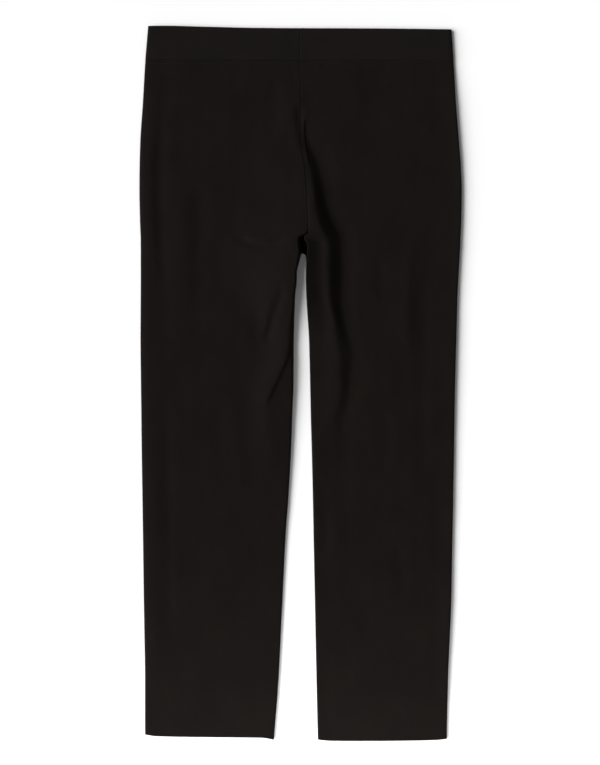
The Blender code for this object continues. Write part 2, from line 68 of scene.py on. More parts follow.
# The outline. The back panels' inner edges are the centre seam down to the crotch, at 292, and the
# inseams below it. The front panels reach further down, to the fork at 322.
Outline = namedtuple(
    "Outline", "drop left_outer left_inner right_inner right_outer front_left front_right"
)
OUTLINE = (
    Outline(0, -216.2, -0.6, -0.6, 214.3, 2.9, 2.9),
    Outline(48, -220.2, -0.8, -0.8, 217.2, 2.9, 2.9),
    Outline(105, -223.7, -1.3, -1.3, 220.3, 2.9, 2.9),
    Outline(162, -227.5, -1.0, -1.0, 224.7, 2.9, 2.9),
    Outline(197, -228.5, 5.0, 5.0, 227.3, 2.9, 2.9),
    Outline(233, -228.8, 7.9, 7.9, 228.7, 2.9, 2.9),
    Outline(275, -228.0, 9.9, 9.9, 228.1, 2.9, 2.9),
    Outline(290, -227.5, 10.4, 10.4, 227.5, 2.9, 2.9),
    Outline(294, -227.3, 9.8, 10.2, 227.3, 2.9, 2.9),
    Outline(299, -227.1, 1.6, 4.8, 227.0, 2.9, 2.9),
    Outline(303, -227.0, -0.4, 5.0, 226.8, 2.9, 2.9),
    Outline(307, -227.0, -0.2, 8.2, 226.7, 2.9, 2.9),
    Outline(312, -227.0, 0.4, 9.6, 226.6, 2.9, 2.9),
    Outline(318, -226.9, 1.0, 9.6, 226.2, 2.9, 2.9),
    Outline(322, -226.9, 1.2, 9.0, 226.0, 2.9, 2.9),
    Outline(324, -226.9, 0.9, 8.7, 225.9, 1.3, 5.8),
    Outline(326, -226.9, 0.3, 8.5, 225.8, 0.5, 7.2),
    Outline(330, -226.9, -0.9, 8.2, 225.6, -0.7, 7.8),
    Outline(336, -226.9, -2.3, 8.0, 225.2, -2.1, 7.8),
    Outline(343, -226.9, -3.9, 7.8, 224.8, -3.8, 7.7),
    Outline(350, -226.9, -5.1, 7.6, 224.4, -5.0, 7.6),
    Outline(360, -226.9, -5.4, 7.5, 223.8, -5.2, 7.5),
    Outline(385, -227.0, -7.6, 8.3, 222.7, -7.6, 8.3),
    Outline(446, -227.3, -9.4, 12.0, 221.0, -9.4, 12.0),
    Outline(510, -226.7, -9.9, 13.5, 219.3, -9.9, 13.5),
    Outline(550, -226.2, -11.4, 14.3, 218.6, -11.4, 14.3),
    Outline(602, -225.6, -13.3, 15.8, 217.8, -13.3, 15.8),
    Outline(673, -224.6, -17.3, 17.4, 216.6, -17.3, 17.4),
    Outline(722, -223.9, -20.9, 18.3, 215.6, -20.9, 18.3),
    Outline(815, -222.6, -25.5, 20.2, 213.9, -25.5, 20.2),
    Outline(929, -220.9, -31.1, 22.5, 209.2, -31.1, 22.5),
    Outline(1014, -220.7, -37.4, 24.4, 207.6, -37.4, 24.4),
)

# How high the cloth stands at each edge and in the middle of a back panel.
Height = namedtuple("Height", "drop left_outer left_inner right_inner right_outer middle")
HEIGHTS = (
    Height(48, 5.2, 5.4, 5.4, 5.0, 5.4),
    Height(105, 5.8, 5.6, 5.6, 4.8, 5.0),
    Height(147, 5.8, 6.4, 6.4, 4.8, 5.0),
    Height(176, 5.8, 8.0, 7.8, 4.8, 5.0),
    Height(218, 5.8, 11.6, 11.2, 4.8, 5.0),
    Height(247, 5.8, 13.2, 12.9, 4.8, 5.0),
    Height(290, 5.8, 15.8, 15.4, 4.8, 5.0),
    Height(297, 5.8, 16.9, 16.0, 4.8, 5.0),
    Height(303, 5.8, 17.8, 16.4, 4.8, 5.0),
    Height(318, 5.8, 18.2, 17.0, 4.7, 5.0),
    Height(335, 5.8, 18.6, 18.4, 4.6, 5.0),
    Height(360, 5.8, 18.4, 18.6, 4.6, 5.0),
    Height(385, 5.7, 17.6, 16.2, 4.5, 5.0),
    Height(410, 5.7, 15.8, 11.8, 4.4, 5.0),
    Height(434, 5.7, 13.8, 7.6, 4.4, 4.9),
    Height(448, 5.6, 12.9, 5.8, 4.4, 4.9),
    Height(531, 5.4, 9.8, 4.4, 4.2, 4.8),
    Height(602, 5.3, 7.6, 4.4, 4.2, 4.7),
    Height(673, 5.3, 5.8, 4.4, 4.2, 4.7),
    Height(815, 5.2, 4.6, 4.4, 4.2, 4.7),
    Height(986, 4.9, 5.0, 4.9, 4.7, 4.9),
    Height(1014, 4.9, 5.2, 4.9, 4.7, 5.0),
)

# How far the raised cloth of the left back panel stays level from its inner edge, and where it has
# come down to the middle.
Rise = namedtuple("Rise", "drop shelf reach")
LEFT_RISE = (
    Rise(48, 2.0, 50.0),
    Rise(147, 2.0, 80.0),
    Rise(218, 2.0, 112.0),
    Rise(290, 2.0, 124.0),
    Rise(340, 3.0, 118.0),
    Rise(390, 4.0, 92.0),
    Rise(430, 6.0, 64.0),
    Rise(455, 9.0, 54.0),
    Rise(480, 16.0, 58.0),
    Rise(505, 27.0, 68.0),
    Rise(522, 33.0, 74.0),
    Rise(560, 30.0, 74.0),
    Rise(673, 10.0, 62.0),
    Rise(1014, 2.0, 62.0),
)

LEFT_RISE_POWER = 1.3  # makes it steeper near the edge than far from it

# How far in from the inner edges their cloth starts to turn down.
Round = namedtuple("Round", "drop left right")
ROUNDS = (
    Round(290, 3.5, 4.0),
    Round(300, 4.5, 1.4),
    Round(306, 4.5, 0.8),
    Round(325, 4.0, 0.8),
    Round(338, 2.8, 0.9),
    Round(385, 3.2, 1.2),
    Round(412, 5.5, 1.4),
    Round(430, 8.5, 1.6),
    Round(458, 9.5, 2.0),
    Round(480, 4.0, 2.5),
    Round(530, 3.5, 3.5),
    Round(1014, 3.5, 3.5),
)

# Towards the side folds the cloth comes down on the left and up on the right. "lift" fades out at
# the waistband and at the hem, and "width" is the rounding's.
Side = namedtuple("Side", "lift reach width")
LEFT_SIDE = Side(-2.0, 17.0, 5.5)
RIGHT_SIDE = Side(2.6, 26.0, 2.8)
SIDE_FADE = 70.0
SIDE_SLOPE = 40.0  # the width beside a side fold over which the cloth comes to its height there

# The deep fold of the right back panel: the hollow beside the inner edge, the ridge, the valley
# that the ridge falls into, and the shoulder where the cloth is level again.
DeepFold = namedtuple(
    "DeepFold", "drop hollow hollow_level ridge ridge_level valley valley_level shoulder"
)
DEEP_FOLD = (
    DeepFold(48, 8.0, 5.4, 16.0, 5.4, 36.0, 5.4, 62.0),
    DeepFold(105, 3.0, 5.4, 9.0, 5.3, 22.0, 5.0, 50.0),
    DeepFold(147, 1.5, 6.2, 3.5, 6.0, 10.5, 4.6, 42.0),
    DeepFold(162, 1.0, 6.9, 3.2, 6.6, 12.5, 4.2, 44.0),
    DeepFold(176, 3.4, 7.7, 5.4, 7.5, 17.0, 3.9, 48.0),
    DeepFold(191, 7.0, 8.8, 9.6, 8.6, 24.0, 3.5, 54.0),
    DeepFold(203, 9.0, 9.8, 12.4, 9.6, 28.0, 3.2, 57.0),
    DeepFold(217, 10.6, 11.0, 14.6, 10.8, 31.5, 2.9, 60.0),
    DeepFold(231, 11.8, 12.2, 16.4, 12.0, 33.5, 2.8, 61.0),
    DeepFold(251, 13.4, 13.8, 18.6, 13.6, 37.5, 2.8, 62.0),
    DeepFold(271, 14.8, 15.4, 21.4, 15.2, 45.5, 2.8, 69.0),
    DeepFold(284, 16.0, 16.2, 25.0, 16.0, 51.5, 2.8, 76.0),
    DeepFold(291, 18.0, 15.8, 29.0, 15.8, 55.4, 2.8, 82.0),
    DeepFold(297, 20.0, 15.4, 32.0, 15.0, 58.4, 2.8, 85.0),
    DeepFold(303, 24.0, 13.2, 34.6, 13.6, 60.0, 2.8, 86.0),
    DeepFold(308, 27.0, 11.2, 36.2, 12.6, 60.6, 2.8, 87.0),
    DeepFold(318, 28.5, 11.6, 37.0, 13.0, 61.0, 2.8, 87.0),
    DeepFold(331, 29.0, 12.6, 37.2, 13.8, 61.0, 2.8, 87.0),
    DeepFold(360, 28.5, 13.2, 37.4, 14.2, 60.2, 2.8, 86.0),
    DeepFold(385, 30.0, 11.6, 39.4, 12.8, 59.4, 2.8, 85.0),
    DeepFold(400, 32.0, 10.4, 42.2, 11.6, 60.2, 2.8, 85.0),
    DeepFold(420, 33.0, 8.6, 46.2, 10.2, 63.8, 2.8, 86.0),
    DeepFold(437, 32.0, 7.0, 48.8, 9.4, 67.8, 2.8, 89.0),
    DeepFold(454, 29.0, 5.9, 51.2, 9.0, 73.0, 2.9, 95.0),
    DeepFold(471, 28.0, 5.6, 53.2, 8.6, 75.4, 3.0, 98.0),
    DeepFold(488, 28.0, 5.4, 53.8, 8.2, 73.4, 3.0, 100.0),
    DeepFold(505, 28.0, 5.2, 54.6, 7.7, 72.0, 3.2, 100.0),
    DeepFold(522, 28.0, 5.0, 54.0, 7.0, 70.6, 3.5, 96.0),
    DeepFold(539, 27.0, 4.9, 51.0, 6.2, 68.0, 3.8, 88.0),
    DeepFold(559, 25.0, 4.8, 45.0, 5.7, 61.0, 4.1, 80.0),
    DeepFold(673, 28.0, 4.6, 42.0, 4.8, 66.0, 4.3, 92.0),
    DeepFold(815, 32.0, 4.6, 52.0, 4.7, 76.0, 4.6, 104.0),
    DeepFold(1014, 38.0, 4.9, 58.0, 5.0, 86.0, 5.0, 112.0),
)

# Creases, listed one by one. A trough's lift is negative. "before" and "after" are its reach to the
# left and to the right of the route, so a crease can rise gently and fall sharply.
Crease = namedtuple("Crease", "lift before after route")
SMILE_ROUTE = ((-100, 296), (-82, 304), (-66, 311), (-50, 312), (-34, 307), (-10, 297))
THIGH_ROUTE = ((-24, 366), (-28, 384), (-33, 400), (-38, 415), (-44, 433), (-51, 455))
DIAGONAL_ROUTE = ((-15, 450), (-20, 472), (-28, 490), (-35, 506), (-44, 524), (-54, 542))
LEFT_CREASES = (
    Crease(-2.6, 7.0, 7.0, SMILE_ROUTE),
    Crease(-1.8, 6.0, 6.5, THIGH_ROUTE),
    Crease(1.0, 10.0, 5.0, ((-43, 386), (-48, 408), (-50, 426), (-55, 446))),
    Crease(2.2, 12.0, 2.2, DIAGONAL_ROUTE),
    Crease(-1.5, 8.0, 9.0, ((-196, 90), (-200, 180), (-201, 250), (-197, 330), (-190, 400))),
    Crease(1.3, 20.0, 15.0, ((-170, 190), (-168, 280), (-165, 380), (-168, 460))),
    Crease(-1.2, 12.0, 14.0, ((-144, 220), (-146, 310), (-148, 400))),
    Crease(-1.0, 10.0, 10.0, ((-188, 500), (-187, 680), (-184, 900))),
    Crease(-0.8, 12.0, 12.0, ((-30, 70), (-38, 130), (-44, 170))),
    Crease(0.8, 14.0, 10.0, ((-96, 520), (-88, 600), (-84, 690))),
)
SEAT_CREASES = (  # across the centre seam, for both panels
    Crease(-1.9, 5.5, 8.0, ((-3, 108), (-2, 130), (0, 148), (3, 164), (8, 180))),
)
RIGHT_CREASES = (
    Crease(-1.0, 12.0, 12.0, ((188, 230), (184, 320), (176, 430), (174, 560), (176, 690))),
    Crease(1.2, 12.0, 10.0, ((156, 290), (152, 380), (150, 480))),
    Crease(1.0, 11.0, 11.0, ((140, 540), (136, 640))),
    Crease(-1.2, 9.0, 9.0, ((36, 665), (36, 755))),
    Crease(-1.0, 11.0, 11.0, ((138, 725), (146, 815))),
    Crease(-1.0, 10.0, 10.0, ((112, 325), (115, 385))),
    Crease(1.0, 16.0, 12.0, ((30, 560), (24, 610), (26, 650))),
)
# The hidden fronts, as the weight above has pressed them: these lift off the surface.
FRONT_LEFT_CREASES = (
    Crease(0.5, 5.0, 9.0, ((-70, 300), (-52, 318), (-30, 322))),
    Crease(0.4, 8.0, 8.0, ((-150, 220), (-146, 330), (-150, 420))),
    Crease(0.5, 4.0, 8.0, ((-28, 470), (-46, 505), (-58, 548))),
    Crease(0.4, 9.0, 9.0, ((-118, 560), (-112, 680), (-116, 800))),
)
FRONT_RIGHT_CREASES = (
    Crease(0.5, 8.0, 5.0, ((84, 296), (62, 316), (34, 324))),
    Crease(0.4, 8.0, 8.0, ((160, 240), (154, 350), (158, 440))),
    Crease(0.4, 9.0, 9.0, ((120, 600), (112, 700), (118, 830))),
)
CREASE_FADE = 0.25  # share of a crease's length over which it dies out at each end

# How far the end of each leg is drawn up, from its left corner to its right one.
HemEnd = namedtuple("HemEnd", "share left right")
HEM_ENDS = (
    HemEnd(0.0, 8.9, 1.8),
    HemEnd(0.1, 6.7, 0.2),
    HemEnd(0.4, 5.6, 0.0),
    HemEnd(0.9, 4.6, 1.2),
    HemEnd(1.0, 1.8, 3.0),
)
HEM_FADE = 140.0  # how far above the hem the cloth starts to follow it

# How much lower the waistband and the cloth below it sit at the garment's right edge.
Slant = namedtuple("Slant", "drop fall")
SLANTS = (Slant(0, 5.2), Slant(48, 1.4), Slant(160, 0.0))
TopEdge = namedtuple("TopEdge", "share fall")
TOP_EDGE = (  # how much of that fall there is at each share of the width
    TopEdge(0.0, 0.04),
    TopEdge(0.08, 0.0),
    TopEdge(0.2, 0.25),
    TopEdge(0.38, 0.6),
    TopEdge(0.5, 0.66),
    TopEdge(0.75, 0.75),
    TopEdge(1.0, 1.0),
)

# Drops between which the inner edges change. The butt seam in the middle becomes a rounded inseam,
# and the line where back and front meet rises from the front's cloth to half of the height.
BACK_TURNS = (288.0, 304.0)
FRONT_TURNS = (321.0, 337.0)
RIM_RISES = (322.0, 356.0)
SEAM_ROUND = 2.0  # how far in from a butt seam the columns crowd

# Sewing.
LIP = 0.45  # how far the lips of a turned edge roll in
LIP_REACH = 0.9
SEAM_DIP = 0.45  # how deep a butt seam's lips roll down
SEAM_DIP_REACH = 1.5
NEEDLE_DROPS = (49.8, 53.6)  # twin needles under the waistband
NEEDLE_ASIDE = 2.5  # and astride the centre seams
NEEDLE_CLEAR = 5.0  # from a panel's edges to the ends of the rows under the waistband
NEEDLE_STEP = 1.5  # between the points of such a row
NEEDLE_DIP = 0.22  # how deep the cloth dips along a row
NEEDLE_REACH = 0.9
SEAT_START = 55.6  # from here to SEAT_END the centre seams have needle rows
SEAT_END = 284.0
SEAT_FADE = 6.0  # how far above their end the dip fades out
STITCH_PITCH = 2.9
STITCH_SIZE = (1.15, 0.3, 0.22)  # half length, half width and half height of a stitch
STITCH_RISE = 0.4  # how far its middle is above the cloth, as a share of its half height
GATHER_LIFT = 0.1  # ripples where the elastic draws the cloth in
GATHER_REACH = 9.0
GATHER_PITCH = 11.0
GATHER_DRIFT = 1.3  # how far the ripples come off their pitch, in radians, and how often
GATHER_DRIFT_PITCH = 47.0
BLIND_PITCH = 8.0  # catches of the blind hem
BLIND_DIP = 0.14  # of the cloth along the hem's line
BLIND_LEAST = 0.4  # share of the dip that is left between two catches
BLIND_REACH = 1.6

# How the cloth sways a little everywhere: lift, wavelengths across and down, and phase.
Sway = namedtuple("Sway", "lift across down phase")
SWAYS = (
    Sway(0.16, 83.0, 310.0, 0.7),
    Sway(0.12, -47.0, 190.0, 2.1),
    Sway(0.07, 29.0, 61.0, 4.0),
    Sway(0.05, 17.0, -38.0, 1.2),
)

# Rows of points: from, to and the step between them.
Stretch = namedtuple("Stretch", "start end step")
BACK_STRETCHES = (
    Stretch(50, 56, 0.5),
    Stretch(56, 280, 2.8),
    Stretch(280, 290, 1.5),
    Stretch(290, 330, 1.0),
    Stretch(330, 342, 1.5),
    Stretch(342, 600, 2.7),
    Stretch(600, HEM_TOP, 4.0),
)
FRONT_STRETCHES = (
    Stretch(50, 56, 1.0),
    Stretch(56, 290, 5.0),
    Stretch(290, 320, 2.0),
    Stretch(320, 332, 0.8),
    Stretch(332, 360, 2.0),
    Stretch(360, HEM_TOP, 5.0),
)
LIP_ROWS = 1.8  # how far from the waist seam the rows crowd towards it
LEAST_STEP = 0.02  # between two columns of an inner face
END_HALF = 0.05  # half of the thickness that is left at the rim of a folded end

# Rows at the hem's line, below it and on the waistband: from, to and how many.
Spread = namedtuple("Spread", "start end count")
HEM_LINE_ROWS = Spread(HEM_TOP - 3.0, HEM_TOP + 3.0, 9)
HEM_ROWS = Spread(HEM_TOP + 6.0, LENGTH - 2.0, 8)
BAND_ROWS = Spread(2.5, BAND_DEPTH - 0.5 * SEWN_GAP - 3.0, 18)

# Where the spacing of columns changes, from the edge named, and how many lie between such places.
NEAR_SIDE_FOLD = 46.0
NEAR_LEFT_INNER = (62.0, 14.0)
PAST_RIGHT_ROUND = 2.0
LEFT_COLUMNS = (14, 30, 32, 12)
RIGHT_COLUMNS = (4, 15, 18, 14, 28, 14)
FRONT_COLUMNS = 44

# Columns and rows crowd towards a rounded edge. These are their distances from it, as shares of the
# rounding, where a quarter circle has turned by so many degrees.
QUARTER = 1 - np.cos(np.radians([0, 3, 7, 12, 18, 26, 36, 48, 62, 76, 90]))

# An edge of a piece at each of its rows: its place, the height of its rim, how far the cloth turns
# to reach it (0 is not at all and 1 a quarter round), and how far in the turning starts.
Edge = namedtuple("Edge", "across rim turn width")
EDGES = {"left": ("left_outer", "left_inner"), "right": ("right_inner", "right_outer")}


# -------------------------------------------------------------------------- curves and soft creases
def smooth(stations, values, at):
    """A curve through (stations, values) that never overshoots them, read at some places."""
    steps = np.diff(stations)
    slopes = np.diff(values) / steps
    before, after = slopes[:-1], slopes[1:]
    agree = before * after > 0
    bends = np.where(agree, 2 * before * after / np.where(agree, before + after, 1.0), 0.0)
    bends = np.concatenate([slopes[:1], bends, slopes[-1:]])
    at = np.clip(at, stations[0], stations[-1])
    span = np.clip(np.searchsorted(stations, at, side="right") - 1, 0, len(steps) - 1)
    step = steps[span]
    share = (at - np.take(stations, span)) / step
    first = (1 + 2 * share) * np.take(values, span) + share * step * bends[span]
    last = (3 - 2 * share) * np.take(values, span + 1) - (1 - share) * step * bends[span + 1]
    return (1 - share) ** 2 * first + share**2 * last


def read(table, name, at):
    """A table's column at these places of its first column."""
    return smooth([float(row[0]) for row in table], [getattr(row, name) for row in table], at)


def ramp(low, high, at):
    """0 at low, 1 at high, and smooth between them."""
    share = np.clip((at - low) / (high - low), 0.0, 1.0)
    return share * share * (3 - 2 * share)


def dip(distance, reach):
    """1 on a line, falling away to 0 on both sides of it."""
    return np.exp(-((distance / reach) ** 2))


def crease_lift(crease, across, drop):
    """What one crease adds to the height of the cloth."""
    route = np.array(crease.route, float)
    legs = np.diff(route, axis=0)
    runs = np.hypot(legs[:, 0], legs[:, 1])
    walked = np.concatenate([[0.0], np.cumsum(runs)])
    nearest = np.full(across.shape, np.inf)
    share = np.zeros_like(across)
    right = np.zeros(across.shape, bool)
    for start, leg, run, before in zip(route, legs, runs, walked):
        along = ((across - start[0]) * leg[0] + (drop - start[1]) * leg[1]) / run**2
        along = np.clip(along, 0.0, 1.0)
        aside = across - start[0] - along * leg[0]
        gap = np.hypot(aside, drop - start[1] - along * leg[1])
        closer = gap < nearest
        share = np.where(closer, (before + along * run) / walked[-1], share)
        right = np.where(closer, aside > 0, right)
        nearest = np.where(closer, gap, nearest)
    ends = ramp(0.0, CREASE_FADE, share) * ramp(0.0, CREASE_FADE, 1.0 - share)
    return crease.lift * ends * dip(nearest, np.where(right, crease.after, crease.before))


def sway(across, drop):
    """The slight unevenness of cloth that has been smoothed out by hand."""
    turns = [across / each.across + drop / each.down for each in SWAYS]
    waves = [each.lift * np.sin(math.tau * turn + each.phase) for each, turn in zip(SWAYS, turns)]
    return sum(waves)


def gathers(across, distance):
    """Small ripples where the elastic draws the cloth in, dying away from the waistband's seam."""
    drift = GATHER_DRIFT * np.sin(math.tau * across / GATHER_DRIFT_PITCH)
    wave = np.sin(math.tau * across / GATHER_PITCH + drift)
    return GATHER_LIFT * wave * np.exp(-distance / GATHER_REACH)


def rolled(distance, reach):
    """How far in a rounded edge has come, as a share of its reach."""
    share = np.clip(distance / reach, 0.0, 1.0)
    return 1 - np.sqrt(1 - (1 - share) ** 2)


# --------------------------------------------------------------------------------- form of a panel
def outline_column(edge, facing):
    """The outline's column of a panel's edge. The front panels have inner edges of their own."""
    if facing > 0 or edge.endswith("outer"):
        return edge
    return "front_" + edge.removesuffix("_inner")


def beside_seam(column, drop):
    """An outline column at this drop, moved half a gap off the seam in the middle."""
    half_gap = 0.5 * SEWN_GAP if "right" in column else -0.5 * SEWN_GAP
    return read(OUTLINE, column, drop) + half_gap


def side_lift(fold, inwards, drop):
    """How much higher the cloth stands this far in from a side fold."""
    fade = ramp(BAND_DEPTH, BAND_DEPTH + SIDE_FADE, drop) * ramp(HEM_TOP, HEM_TOP - SIDE_FADE, drop)
    return fold.lift * fade * np.clip(1 - inwards / fold.reach, 0.0, 1.0) ** 2


def back_edge(edge, drop):
    """Where a back panel's edge lies, and how far its cloth turns down there."""
    level = read(HEIGHTS, edge, drop)
    if edge.endswith("outer"):
        fold = LEFT_SIDE if edge == "left_outer" else RIGHT_SIDE
        rim = 0.5 * (level + np.minimum(side_lift(fold, 0.0, drop), 0.0))
        width = np.full_like(drop, fold.width)
        return Edge(read(OUTLINE, edge, drop), rim, np.ones_like(drop), width)
    width = read(ROUNDS, edge.removesuffix("_inner"), drop)
    turn = ramp(*BACK_TURNS, drop)
    rim = LANDED + (0.5 * level - LANDED) * ramp(*RIM_RISES, drop)
    return Edge(beside_seam(edge, drop), rim, turn, SEAM_ROUND + (width - SEAM_ROUND) * turn)


def front_edge(edge, drop):
    """The same edge of the front panel, whose cloth turns up to meet the back one."""
    above = back_edge(edge, drop)
    if edge.endswith("outer"):
        return above
    turn = ramp(*FRONT_TURNS, drop)
    across = beside_seam(outline_column(edge, -1), drop)
    return Edge(across, above.rim, turn, SEAM_ROUND + (above.width - SEAM_ROUND) * turn)


def band_edge(edge, drop):
    """The waistband's side folds, and the seam in the middle of its back."""
    if edge.endswith("outer"):
        rim = np.full_like(drop, 0.5 * BAND_LEVEL)
        return Edge(read(OUTLINE, edge, drop), rim, np.ones_like(drop), BAND_ROUND * rim)
    rim = np.full_like(drop, LANDED)
    return Edge(beside_seam(edge, drop), rim, np.zeros_like(drop), np.full_like(drop, SEAM_ROUND))


def left_back_level(across, drop):
    """The left back panel stands highest at its inner edge, over the front panel's fork."""
    middle = read(HEIGHTS, "middle", drop)
    shelf, reach = (read(LEFT_RISE, name, drop) for name in ("shelf", "reach"))
    near_inner = 1 - ramp(shelf, reach, read(OUTLINE, "left_inner", drop) - across)
    near_inner = near_inner**LEFT_RISE_POWER
    from_side = across - read(OUTLINE, "left_outer", drop)
    near_outer = 1 - ramp(0.0, SIDE_SLOPE, from_side)
    level = middle + (read(HEIGHTS, "left_inner", drop) - middle) * near_inner
    level = level + (read(HEIGHTS, "left_outer", drop) - middle) * near_outer
    return level + side_lift(LEFT_SIDE, from_side, drop)


def right_back_level(across, drop):
    """The right back panel rises to its ridge, falls into the valley and comes back level."""
    middle = read(HEIGHTS, "middle", drop)
    outer = read(OUTLINE, "right_outer", drop)
    knots = (
        (read(OUTLINE, "right_inner", drop), read(HEIGHTS, "right_inner", drop)),
        (read(DEEP_FOLD, "hollow", drop), read(DEEP_FOLD, "hollow_level", drop)),
        (read(DEEP_FOLD, "ridge", drop), read(DEEP_FOLD, "ridge_level", drop)),
        (read(DEEP_FOLD, "valley", drop), read(DEEP_FOLD, "valley_level", drop)),
        (read(DEEP_FOLD, "shoulder", drop), middle),
        (outer - SIDE_SLOPE, middle),
        (outer, read(HEIGHTS, "right_outer", drop)),
    )
    places = np.concatenate([place for place, _ in knots], axis=1)
    levels = np.concatenate([level for _, level in knots], axis=1)
    level = np.array([smooth(*row) for row in zip(places, levels, across)])
    return level + side_lift(RIGHT_SIDE, outer - across, drop)


def left_back_places(drop):
    """Knots of the left back panel's columns, and how many columns lie between them."""
    outer, inner = (read(OUTLINE, edge, drop) for edge in EDGES["left"])
    near_inner = [inner - distance for distance in NEAR_LEFT_INNER]
    return [outer + NEAR_SIDE_FOLD, *near_inner], LEFT_COLUMNS


def right_back_places(drop):
    """The right back panel's columns follow the deep fold."""
    inner, outer = (read(OUTLINE, edge, drop) for edge in EDGES["right"])
    past_round = inner + read(ROUNDS, "right", drop) + PAST_RIGHT_ROUND
    fold = [read(DEEP_FOLD, name, drop) for name in ("ridge", "valley", "shoulder")]
    return [past_round, *fold, outer - NEAR_SIDE_FOLD], RIGHT_COLUMNS


def front_places(drop):
    """A front panel's columns are spread evenly."""
    return [], [FRONT_COLUMNS]


def lies_flat(across, drop):
    """A front panel rests on the surface."""
    return np.zeros_like(across)


def section(low, high, places, counts):
    """Across positions of every row: round the low edge, over the panel, round the high edge."""
    start = low.across + QUARTER * low.width
    end = high.across - QUARTER[::-1] * high.width
    knots = [start[:, -1:], *places, end[:, :1]]
    runs = [
        near + (far - near) * np.linspace(0, 1, count, endpoint=False)
        for near, far, count in zip(knots, knots[1:], counts)
    ]
    return np.concatenate([start[:, :-1], *runs, end], axis=1)


def turned(level, across, low, high, half_gap):
    """The level brought to the rim, as a quarter round, at each of the section's two edges."""
    for edge, inwards in ((low, across - low.across), (high, high.across - across)):
        rim = edge.rim + half_gap
        level = rim + (level - rim) * (1 - edge.turn * rolled(inwards, edge.width))
    return level


def slanted(across, drop):
    """Y of a place, with the waistband's slant."""
    fall = read(SLANTS, "fall", drop) * read(TOP_EDGE, "fall", across / WIDEST + 0.5)
    return LENGTH / 2 - drop - fall


def inner_grid(outer, walls, low, high, facing):
    """The outer points moved in by the wall, square to the cloth. A column of points is added past
    each edge for this, and it turns back where the cloth turns round the edge."""
    past_low = outer[:, 0] - outer[:, 1]
    past_high = outer[:, -1] - outer[:, -2]
    past_low[:, :1] *= 1 - 2 * low.turn
    past_high[:, :1] *= 1 - 2 * high.turn
    wide = np.concatenate(
        [outer[:, :1] + past_low[:, None], outer, outer[:, -1:] + past_high[:, None]], axis=1
    )
    rightwards = wide[:, 2:] - wide[:, :-2]
    downwards = np.gradient(outer, axis=0)
    normal = facing * np.cross(downwards, rightwards)
    normal /= np.linalg.norm(normal, axis=2, keepdims=True)
    return outer - normal * walls[:, :, None]


def kept_apart(inner, walls, low, high, facing):
    """The inner points held in order across, and clear of the panel that lies against them."""
    least_step = LEAST_STEP * np.arange(inner.shape[1])
    inner[:, :, 0] = np.maximum.accumulate(inner[:, :, 0] - least_step, axis=1) + least_step
    across = inner[:, :, 0]
    limit = walls + (SEAM_GAP if facing > 0 else 0.0)
    limits = np.broadcast_to(limit, across.shape)
    for edge, inwards in ((low, across - low.across), (high, high.across - across)):
        at_edge = np.maximum(edge.rim + facing * 0.5 * SEWN_GAP, limit)
        limits = np.where(inwards < edge.width, at_edge, limits)
    hold = np.maximum if facing > 0 else np.minimum
    inner[:, :, 2] = hold(inner[:, :, 2], limits)
    return inner


def seam_lips(points, low, high, facing):
    """The lips of the seams at both edges: a turned edge rolls in, and a butt edge rolls down."""
    across, height = points[:, :, 0].copy(), points[:, :, 2].copy()
    for edge, inwards in ((low, 1.0), (high, -1.0)):
        distance = inwards * (across - edge.across)
        from_rim = np.abs(height - edge.rim - 0.5 * SEWN_GAP * facing)
        lip = LIP * edge.turn * np.clip(1 - from_rim / LIP_REACH, 0.0, 1.0) ** 2
        points[:, :, 0] += inwards * np.where(distance < edge.width, lip, 0.0)
        down = SEAM_DIP * (1 - edge.turn) * rolled(distance, SEAM_DIP_REACH)
        points[:, :, 2] -= facing * down


def both_faces(across, along, level, walls, low, high, facing):
    """The points of a piece's outer and inner faces, with its two edges turned."""
    level = turned(level, across, low, high, 0.5 * SEWN_GAP * facing)
    outer = np.stack([across, along, level], axis=2)
    inner = inner_grid(outer, walls, low, high, facing)
    inner = kept_apart(inner, walls, low, high, facing)
    seam_lips(outer, low, high, facing)
    return outer, inner


def sewn(points, across, drop, leg):
    """What the needles leave on a leg panel: dips under the waistband, beside the centre seam and
    at the blind hem."""
    down = sum(dip(drop - row, NEEDLE_REACH) for row in NEEDLE_DROPS)
    column = outline_column(leg.side + "_inner", leg.facing)
    aside = np.abs(across - read(OUTLINE, column, drop)) - NEEDLE_ASIDE
    down = down + dip(aside, NEEDLE_REACH) * (1 - ramp(SEAT_END - SEAT_FADE, SEAT_END, drop))
    catches = 0.5 + 0.5 * np.cos(math.tau * across / BLIND_PITCH)
    hem = dip(drop - HEM_TOP, BLIND_REACH) * (BLIND_LEAST + (1 - BLIND_LEAST) * catches)
    points[:, :, 2] -= leg.facing * (NEEDLE_DIP * down + BLIND_DIP * hem)
    points[:, :, 2] += leg.facing * gathers(across, drop - BAND_DEPTH)


# ------------------------------------------------------------------------------ meshes of the cloth
def rows_of(stretches):
    """Drops of the rows in each stretch, without its end."""
    counts = [max(2, round((part.end - part.start) / part.step)) for part in stretches]
    return [
        np.linspace(part.start, part.end, count, endpoint=False)
        for part, count in zip(stretches, counts)
    ]


def leg_drops(stretches):
    """Drops of a leg panel's rows: over the waist seam's lip, down the leg and round the hem."""
    drops = [
        BAND_DEPTH + 0.5 * SEWN_GAP + QUARTER * LIP_ROWS,
        *rows_of(stretches),
        np.linspace(*HEM_LINE_ROWS),
        np.linspace(*HEM_ROWS),
        LENGTH - QUARTER[::-1] * 0.5 * HEM_WALL,
    ]
    return np.concatenate(drops)[:, None]


def round_end(outer, inner, distance, wall, facing):
    """Both faces of a wall brought together at a folded end."""
    come_in = (0.5 * wall - END_HALF) * rolled(distance, 0.5 * wall)
    outer[:, :, 2] -= facing * come_in
    inner[:, :, 2] += facing * come_in


